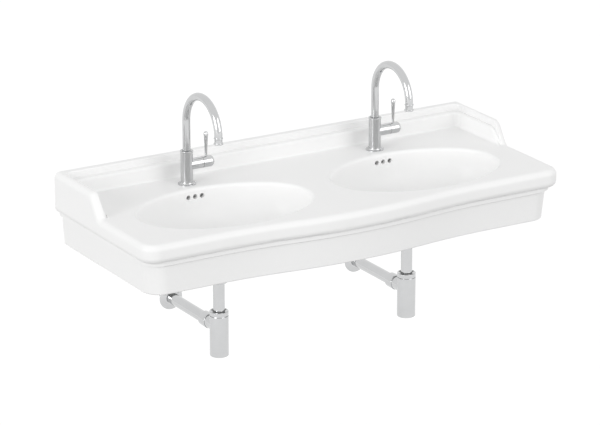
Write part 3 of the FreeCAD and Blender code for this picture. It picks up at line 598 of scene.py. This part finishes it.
@dataclass
class Ceramic:
    """The cast basin, shaded as one smooth glazed body."""

    node: str = "basin"

    def build(self, dresser: Dresser) -> None:
        """Join the basin's faces and glaze them."""
        dresser.stand_for(merged_copy(self.node, "glazed_basin"), self.node)


@dataclass
class Gooseneck:
    """Path of a spout: up, over in a half circle towards the user, and down."""

    foot: Array
    spring_height: float
    reach: float

    @property
    def bend(self) -> float:
        """Radius of the half circle."""
        return self.reach / 2

    @property
    def rise(self) -> float:
        """Length of the straight leg."""
        return self.spring_height - float(self.foot[2])

    @property
    def arch_length(self) -> float:
        """Length of the half circle."""
        return math.pi * self.bend

    def __call__(self, distance: Array) -> tuple[Array, Array]:
        """Points and normals at distances along the path.

        The angle round the arch is the distance past the spring line over the bend's radius, held between
        none and a half turn. The point is the arch's centre plus the bend's radius along the normal at that
        angle, moved down by what is left of either straight leg.

        Args:
            distance: Distances from the foot.

        Returns:
            Points and unit normals, one row each.
        """
        angle = np.clip((distance - self.rise) / self.bend, 0, math.pi)
        past = distance - self.rise - self.arch_length
        below = np.clip(self.rise - distance, 0, None) + np.clip(past, 0, None)
        normal = np.stack([np.zeros_like(angle), np.cos(angle), np.sin(angle)], -1)
        centre = np.array([self.foot[0], self.foot[1] - self.bend, self.spring_height])
        points = centre + self.bend * normal
        points[:, 2] -= below
        return points, normal


@dataclass
class Tap:
    """One mixer tap: foot ring, body with its arm, gooseneck spout, aerator, cap and lever."""

    side: Side
    body_radius: float = 0.017
    neck_wall: float = 0.00105
    rim_height: float = 0.0025
    seat_height: float = 0.004
    cove_round: float = 0.004
    fine_round: float = 0.0006
    lip_height: float = 0.004
    lip_round: float = 0.001
    dish_rim: float = 0.0015
    arm_wall: float = 0.0035
    spout_wall: float = 0.003
    groove_depth: float = 0.0018
    groove_width: float = 0.0022
    groove_play: float = 0.0001
    nozzle_wall: float = 0.0014
    nozzle_length: float = 0.0095
    top_ring_radius: float = 0.0125
    top_ring_height: float = 0.0034
    low_ring_height: float = 0.0045
    ring_round: float = 0.0009
    cap_round: float = 0.010
    mouth_round: float = 0.0008
    peg_radius: float = 0.0025
    peg_length: float = 0.009
    stalk_radius: float = 0.00325
    head_radius: float = 0.0061
    flare_power: float = 1.254
    knob_height: float = 0.0115
    knob_lip: float = 0.0015
    dome_share: float = 0.7071
    curve_steps: int = 24
    arch_steps: int = 64

    def __post_init__(self) -> None:
        """Measure the CAD nodes of this tap."""
        names = ("tap_base", "tap_body", "tap_shank", "spout_bush", "spout", "spout_seals", "aerator",
                 "aerator_insert", "cartridge_stem", "handle_cap", "lever")
        self.boxes = {name: NodeBox.of(self.side.node(name)) for name in names}

    def foot_ring(self) -> list[Skin]:
        """Foot ring: a rim on the deck and a cove up to a thin neck round the body.

        Returns:
            Its surface.
        """
        box = self.boxes["tap_base"]
        outer, low, high = box.radius(Axis.X), float(box.low[2]), float(box.high[2])
        shank = self.boxes["tap_shank"].radius(Axis.X)
        neck, rim, seat = self.body_radius + self.neck_wall, low + self.rim_height, low + self.seat_height
        profile = rounded([
            (shank, low, 0), (outer, low, 0), (outer, rim, self.fine_round), (neck, rim, self.cove_round),
            (neck, high, self.fine_round / 2), (self.body_radius, high, 0), (self.body_radius, seat, 0),
            (shank, seat, 0),
        ])
        return [revolve(profile, Axis.Z, box.centre)]

    def column(self) -> list[Skin]:
        """Upright body with a lip and a dished top, and the side arm as a tube rooted under its face.

        Returns:
            The upright and the arm.
        """
        box, cap = self.boxes["tap_body"], self.boxes["handle_cap"]
        bush = self.boxes["spout_bush"]
        axis = self.boxes["tap_base"].centre
        low, high = float(box.low[2]), float(box.high[2])
        lip = box.radius(Axis.Y)
        lip_low = high - self.lip_height
        bore = bush.radius(Axis.X)
        bottom = float(bush.low[2])
        upright = rounded([
            (0, low, 0), (self.body_radius, low, 0), (self.body_radius, lip_low, self.fine_round / 2),
            (lip, lip_low, self.lip_round), (lip, high, self.lip_round),
            (lip - self.dish_rim, high, self.fine_round / 2), (bore, lip_low, 0), (bore, bottom, 0),
            (0, bottom, 0),
        ], closed=False)
        arm_radius, start, end = cap.radius(Axis.Y), float(axis[0]), float(box.high[0])
        inner = arm_radius - self.arm_wall
        arm = rounded([
            (inner, start, 0), (arm_radius, start, 0), (arm_radius, end, self.mouth_round), (inner, end, 0),
        ])
        tube = revolve(arm, Axis.X, cap.centre)
        under_face = self.body_radius - self.fine_round
        return [
            revolve(upright, Axis.Z, axis, closed=False),
            saddle(tube, Axis.X, start, axis, under_face),
        ]

    def gooseneck(self) -> list[Skin]:
        """Spout tube: a closed profile along the outside, round the nozzle and back through the bore.

        Returns:
            Its surface.
        """
        box, aerator = self.boxes["spout"], self.boxes["aerator"]
        axis = self.boxes["tap_base"].centre
        outer = box.radius(Axis.X)
        bore = outer - self.spout_wall
        reach = float(axis[1] - box.low[1]) - outer
        spring = float(box.high[2]) - outer - reach / 2
        path = Gooseneck(np.array([axis[0], axis[1], box.low[2]]), spring, reach)
        end = path.rise + path.arch_length + spring - float(aerator.high[2])
        tip = end + self.nozzle_length
        nozzle = bore + self.nozzle_wall
        arch = np.linspace(path.rise, path.rise + path.arch_length, self.arch_steps)
        out = np.stack([np.full_like(arch, outer), arch], -1)
        back = np.stack([np.full_like(arch, bore), arch[::-1]], -1)
        foot = np.array([(bore, 0.0), (outer, 0.0)])
        nozzle_run = np.array([(outer, end), (nozzle, end), (nozzle, tip), (bore, tip)])
        return [carry(np.concatenate([foot, self._grooves(outer), out, nozzle_run, back]), path)]

    def _grooves(self, outer: float) -> Array:
        """Profile corners of the two seal grooves, as distances from the spout's foot.

        Args:
            outer: The spout's outer radius.

        Returns:
            Profile rows.
        """
        foot, seals = float(self.boxes["spout"].low[2]), self.boxes["spout_seals"]
        first, last = seals.low[2] - self.groove_play, seals.high[2] + self.groove_play
        lows = np.array([first, last - self.groove_width]) - foot
        highs = lows + self.groove_width
        deep = outer - self.groove_depth
        along = np.stack([lows, lows, highs, highs], -1)
        radii = np.broadcast_to(np.array([outer, deep, deep, outer]), along.shape)
        return np.stack([radii, along], -1).reshape(-1, 2)

    def aerator(self) -> list[Skin]:
        """Aerator housing: a bead under the spout, a waist and a larger bead at the mouth.

        Returns:
            Its surface.
        """
        box, spout = self.boxes["aerator"], self.boxes["spout"]
        low, high = float(box.low[2]), float(box.high[2])
        large, waist = box.radius(Axis.X), spout.radius(Axis.X)
        insert = self.boxes["aerator_insert"]
        seat, step = insert.radius(Axis.X), float(insert.high[2])
        thread = waist - self.spout_wall + self.nozzle_wall
        low_top, top_low = low + self.low_ring_height, high - self.top_ring_height
        profile = rounded([
            (seat, low, 0), (large, low, self.ring_round), (large, low_top, self.ring_round),
            (waist, low_top, self.fine_round), (waist, top_low, self.fine_round),
            (self.top_ring_radius, top_low, self.ring_round), (self.top_ring_radius, high, self.ring_round),
            (thread, high, 0), (thread, step, 0), (seat, step, 0),
        ])
        return [revolve(profile, Axis.Z, box.centre)]

    def cap(self) -> list[Skin]:
        """Handle cap: a cylinder about the arm's axis with a fine edge at its mouth and a large round end.

        Returns:
            Its surface.
        """
        box, stem = self.boxes["handle_cap"], self.boxes["cartridge_stem"]
        outer, start, end = box.radius(Axis.Y), float(box.low[0]), float(box.high[0])
        socket, depth = stem.radius(Axis.Y), float(stem.high[0])
        profile = rounded([
            (0, depth, 0), (socket, depth, 0), (socket, start, 0), (outer, start, self.mouth_round),
            (outer, end, self.cap_round), (0, end, 0),
        ], closed=False)
        return [revolve(profile, Axis.X, box.centre, closed=False)]

    def lever(self) -> list[Skin]:
        """Lever: a stalk whose radius grows by a power of its height, then a lip and a domed knob.

        The dome is a cubic Bezier curve from the lip's edge to the tip, its two handles a share of the dome's
        height and of the knob's radius.

        Returns:
            Its surface.
        """
        box = self.boxes["lever"]
        knob = box.radius(Axis.X)
        low, high = float(box.low[2]), float(box.high[2])
        seat, top = low + self.peg_length, high - self.knob_height
        t = np.linspace(0, 1, self.curve_steps)[:, None]
        flare = self.stalk_radius + (self.head_radius - self.stalk_radius) * t**self.flare_power
        stalk = np.concatenate([flare, seat + (top - seat) * t], -1)
        lip = top + self.knob_lip
        rise = (high - lip) * self.dome_share
        handles = np.array([(knob, lip), (knob, lip + rise), (knob * self.dome_share, high), (0.0, high)])
        weights = np.concatenate([(1 - t) ** 3, 3 * (1 - t) ** 2 * t, 3 * (1 - t) * t**2, t**3], -1)
        peg = np.array([(0.0, low), (self.peg_radius, low), (self.peg_radius, seat)])
        edge = np.array([(knob - self.fine_round, top), (knob, top + self.fine_round)])
        profile = np.concatenate([peg, stalk, edge, weights @ handles])
        return [revolve(profile, Axis.Z, box.centre, closed=False)]

    def build(self, dresser: Dresser) -> None:
        """Make this tap's pieces and let them stand for its CAD nodes.

        Args:
            dresser: Gives each piece its finish and body.
        """
        for node, label, skins in (
            ("tap_base", "foot_ring", self.foot_ring()),
            ("tap_body", "column", self.column()),
            ("spout", "gooseneck", self.gooseneck()),
            ("aerator", "aerator_ring", self.aerator()),
            ("handle_cap", "arm_cap", self.cap()),
            ("lever", "lever_stalk", self.lever()),
        ):
            dresser.stand_for(piece_of(self.side.node(label), skins), self.side.node(node))


@dataclass
class Drain:
    """One bowl's waste and plug, tailpipe, bottle trap and pipe to the wall."""

    side: Side
    pipe_wall: float = 0.0012
    lid_edge: float = 0.0007
    lid_rim: float = 0.0017
    bottle_wall: float = 0.002
    bottle_round: float = 0.0025
    neck_radius: float = 0.024
    neck_height: float = 0.005
    stub_radius: float = 0.019
    fine_round: float = 0.0006
    curve_steps: int = 24

    def __post_init__(self) -> None:
        """Measure the CAD nodes of this drain."""
        names = ("plug_cap", "tailpipe", "trap_body", "outlet_pipe")
        self.boxes = {name: NodeBox.of(self.side.node(name)) for name in names}

    def plug_lid(self) -> list[Skin]:
        """Plug lid: a short rim and a shallow dome whose height falls with the square of the radius.

        Returns:
            Its surface.
        """
        box = self.boxes["plug_cap"]
        outer, low, high = box.radius(Axis.X), float(box.low[2]), float(box.high[2])
        rim = low + self.lid_rim
        t = np.linspace(1, 0, self.curve_steps)
        bevel = self.lid_edge / 2
        drop = high - rim - bevel
        dome = np.stack([(outer - bevel) * t, high - drop * t**2], -1)
        edge = np.array([(0.0, low), (outer - bevel, low), (outer, low + bevel), (outer, rim)])
        return [revolve(np.concatenate([edge, dome]), Axis.Z, box.centre, closed=False)]

    def drop_tube(self) -> list[Skin]:
        """Tailpipe: a plain tube down into the trap.

        Returns:
            Its surface.
        """
        box = self.boxes["tailpipe"]
        outer, low, high = box.radius(Axis.X), float(box.low[2]), float(box.high[2])
        inner = outer - self.pipe_wall
        profile = rounded([(inner, low, 0), (outer, low, 0), (outer, high, 0), (inner, high, 0)])
        return [revolve(profile, Axis.Z, box.centre)]

    def bottle(self) -> list[Skin]:
        """Trap bottle: a cup with a rounded foot and a neck, and the outlet stub, rooted in its wall.

        Returns:
            The cup and the stub.
        """
        box, tube, pipe = self.boxes["trap_body"], self.boxes["tailpipe"], self.boxes["outlet_pipe"]
        outer, low, high = box.radius(Axis.X), float(box.low[2]), float(box.high[2])
        inner, shoulder = outer - self.bottle_wall, high - self.neck_height
        cup = rounded([
            (0, low, 0), (outer, low, self.bottle_round), (outer, shoulder, self.fine_round),
            (self.neck_radius, shoulder, 0), (self.neck_radius, high, 0), (inner - self.bottle_wall, high, 0),
            (inner - self.bottle_wall, shoulder, 0), (inner, shoulder - self.bottle_wall, 0),
            (inner, low + self.bottle_wall, self.bottle_round), (0, low + self.bottle_wall, 0),
        ], closed=False)
        start, end = float(tube.centre[1]), float(box.high[1])
        bore, wide = pipe.radius(Axis.X), self.stub_radius
        profile = rounded([(bore, start, 0), (wide, start, 0), (wide, end, 0), (bore, end, 0)])
        stub = revolve(profile, Axis.Y, pipe.centre)
        under_face = outer - self.bottle_wall / 2
        return [
            revolve(cup, Axis.Z, tube.centre, closed=False),
            saddle(stub, Axis.Y, start, tube.centre, under_face),
        ]

    def build(self, dresser: Dresser) -> None:
        """Make this drain's pieces and let them stand for its CAD nodes.

        Args:
            dresser: Gives each piece its finish and body.
        """
        node = self.side.node
        for name, label in (("waste_body", "waste_flange"), ("outlet_pipe", "wall_pipe")):
            dresser.stand_for(merged_copy(node(name), node(label)), node(name))
        for name, label, skins in (
            ("plug_cap", "plug_lid", self.plug_lid()),
            ("tailpipe", "drop_tube", self.drop_tube()),
            ("trap_body", "bottle", self.bottle()),
        ):
            dresser.stand_for(piece_of(node(label), skins), node(name))


@dataclass
class DrainRings:
    """Chrome nuts and roses on the drains; each CAD node is a pair with one on either side."""

    tube_radius: float = 0.0164
    union_round: float = 0.002
    head_round: float = 0.0008
    dish_radius: float = 0.023
    dish_depth: float = 0.004
    outlet_round: float = 0.0015
    rose_rim: float = 0.002
    rose_neck: float = 0.019
    rose_round: float = 0.004
    fine_round: float = 0.0006

    def corners(self, node: str, outer: float, low: float, high: float) -> list[Corner]:
        """Profile of one ring.

        Args:
            node: The CAD node.
            outer: The ring's outer radius.
            low: Where the ring starts along its axis.
            high: Where it ends.

        Returns:
            Corners of the closed profile.
        """
        bore = self.tube_radius
        if node == "wall_roses":
            return [
                (bore, high, 0), (outer, high, 0), (outer, high - self.rose_rim, self.fine_round),
                (self.rose_neck, low, self.rose_round), (bore, low, 0),
            ]
        size = {"union_nuts": self.union_round, "outlet_nuts": self.outlet_round}.get(node, self.head_round)
        ring = [(bore, low, 0), (outer, low, size), (outer, high, size)]
        if node == "trap_head_nuts":
            return ring + [(self.dish_radius, high, self.fine_round), (bore, high - self.dish_depth, 0)]
        return ring + [(bore, high, 0)]

    def build(self, dresser: Dresser) -> None:
        """Turn both rings of each pair about its own drain's axis.

        Args:
            dresser: Gives each piece its finish and body.
        """
        for node, axis in (
            ("union_nuts", Axis.Z), ("trap_head_nuts", Axis.Z),
            ("outlet_nuts", Axis.Y), ("wall_roses", Axis.Y),
        ):
            pair = NodeBox.of(node)
            across = Axis.Y if axis is Axis.Z else Axis.Z
            outer = pair.radius(across)
            low, high = float(pair.low[axis.value]), float(pair.high[axis.value])
            profile = rounded(self.corners(node, outer, low, high))
            skins = []
            for side in Side:
                origin = pair.centre
                origin[0] = NodeBox.of(side.node("tailpipe")).centre[0]
                skins.append(revolve(profile, axis, origin))
            dresser.stand_for(piece_of(f"turned_{node}", skins), node)


@dataclass(frozen=True)
class SoftLamp:
    """A square soft box aimed at a point."""

    name: str
    place: tuple[float, float, float]
    size: float
    power: float

    def build(self, target: Vector) -> None:
        """Hang the lamp and aim it.

        Args:
            target: Point that the lamp faces.
        """
        data = bpy.data.lights.new(self.name, "AREA")
        data.shape = "SQUARE"
        data.size = self.size
        data.energy = self.power
        lamp = bpy.data.objects.new(self.name, data)
        lamp.location = self.place
        lamp.rotation_euler = (target - lamp.location).to_track_quat("-Z", "Y").to_euler()
        bpy.context.scene.collection.objects.link(lamp)


@dataclass
class Studio:
    """Pale floor, white surroundings and soft light."""

    floor_height: float = -0.85
    floor_half: float = 30.0
    floor_shade: float = 0.50
    floor_roughness: float = 0.9
    glow: float = 0.58
    ambient: float = 0.735
    target: tuple[float, float, float] = (0.0, -0.27, -0.05)
    lamps: tuple[SoftLamp, ...] = (
        SoftLamp("left soft box", (-20.0, -6.0, 5.0), 9.0, 1650.0),
        SoftLamp("front soft box", (9.0, -19.0, 8.0), 15.0, 1350.0),
    )

    @staticmethod
    def _seen(sheet: NodeSheet) -> bpy.types.NodeSocket:
        """A mask that is one for camera, glossy and transmission rays.

        Args:
            sheet: The sheet to add the nodes to.

        Returns:
            The mask's output.
        """
        path = sheet.add("ShaderNodeLightPath")
        first = sheet.add("ShaderNodeMath", operation="MAXIMUM")
        second = sheet.add("ShaderNodeMath", operation="MAXIMUM")
        sheet.wire(path.outputs["Is Camera Ray"], first.inputs[0])
        sheet.wire(path.outputs["Is Glossy Ray"], first.inputs[1])
        sheet.wire(first.outputs[0], second.inputs[0])
        sheet.wire(path.outputs["Is Transmission Ray"], second.inputs[1])
        return second.outputs[0]

    def world(self) -> None:
        """White where the camera or a mirror looks, softer as a light."""
        world = bpy.data.worlds.new("white studio")
        world.use_nodes = True
        sheet = NodeSheet(world.node_tree)
        level = sheet.add("ShaderNodeMapRange", To_Min=self.ambient, To_Max=1.0)
        background = sheet.add("ShaderNodeBackground", Color=(1.0, 1.0, 1.0, 1.0))
        result = sheet.add("ShaderNodeOutputWorld")
        sheet.wire(self._seen(sheet), level.inputs["Value"])
        sheet.wire(level.outputs["Result"], background.inputs["Strength"])
        sheet.wire(background.outputs["Background"], result.inputs["Surface"])
        bpy.context.scene.world = world

    def floor(self) -> None:
        """A wide pale floor, lifted to white where the camera or a mirror looks; it holds a shadow."""
        side = np.array([-self.floor_half, self.floor_half])
        x, y = np.meshgrid(side, side)
        points = np.stack([x, y, np.full_like(x, self.floor_height)], -1).reshape(-1, 3)
        mesh = bpy.data.meshes.new("floor")
        mesh.from_pydata(points, [], [(0, 1, 3, 2)])
        material = bpy.data.materials.new("pale floor")
        material.use_nodes = True
        sheet = NodeSheet(material.node_tree)
        glow = sheet.add("ShaderNodeMapRange", To_Min=0.0, To_Max=self.glow)
        shade = (self.floor_shade, self.floor_shade, self.floor_shade, 1.0)
        surface = sheet.add("ShaderNodeBsdfPrincipled", Base_Color=shade, Roughness=self.floor_roughness)
        surface.inputs["Emission Color"].default_value = (1.0, 1.0, 1.0, 1.0)
        result = sheet.add("ShaderNodeOutputMaterial")
        sheet.wire(self._seen(sheet), glow.inputs["Value"])
        sheet.wire(glow.outputs["Result"], surface.inputs["Emission Strength"])
        sheet.wire(surface.outputs["BSDF"], result.inputs["Surface"])
        mesh.materials.append(material)
        link("floor", mesh)

    def build(self) -> None:
        """Set up surroundings, floor and lamps."""
        bpy.context.scene.view_settings.view_transform = "Standard"
        self.world()
        self.floor()
        for lamp in self.lamps:
            lamp.build(Vector(self.target))


@dataclass
class PhotoCamera:
    """Camera at the photograph's place, found from the basin's edges."""

    place: tuple[float, float, float] = (-4.4564, -7.6342, 2.8160)
    yaw_deg: float = 30.88
    pitch_deg: float = 18.62
    focal_px: float = 3341.0
    centre_px: tuple[float, float] = (297.6, 212.13)
    image_px: tuple[int, int] = (600, 425)
    sensor_mm: float = 36.0
    sight: float = 200.0

    def build(self) -> None:
        """Create the camera and make it the scene's own."""
        width, height = self.image_px
        data = bpy.data.cameras.new("photo camera")
        data.sensor_width = self.sensor_mm
        data.lens = self.focal_px * self.sensor_mm / width
        data.shift_x = (width / 2 - self.centre_px[0]) / width
        data.shift_y = (self.centre_px[1] - height / 2) / width
        data.clip_end = self.sight
        camera = bpy.data.objects.new("photo camera", data)
        camera.location = self.place
        camera.rotation_euler = (math.radians(90 - self.pitch_deg), 0.0, -math.radians(self.yaw_deg))
        bpy.context.scene.collection.objects.link(camera)
        bpy.context.scene.camera = camera


def main() -> None:
    """Build every sub-assembly in order."""
    logging.basicConfig(level=logging.INFO, format="%(name)s: %(message)s")
    dresser = Dresser()
    dresser.carried_nodes()
    Ceramic().build(dresser)
    for side in Side:
        Tap(side).build(dresser)
        Drain(side).build(dresser)
    DrainRings().build(dresser)
    Studio().build()
    PhotoCamera().build()


if __name__ == "__main__":
    main()
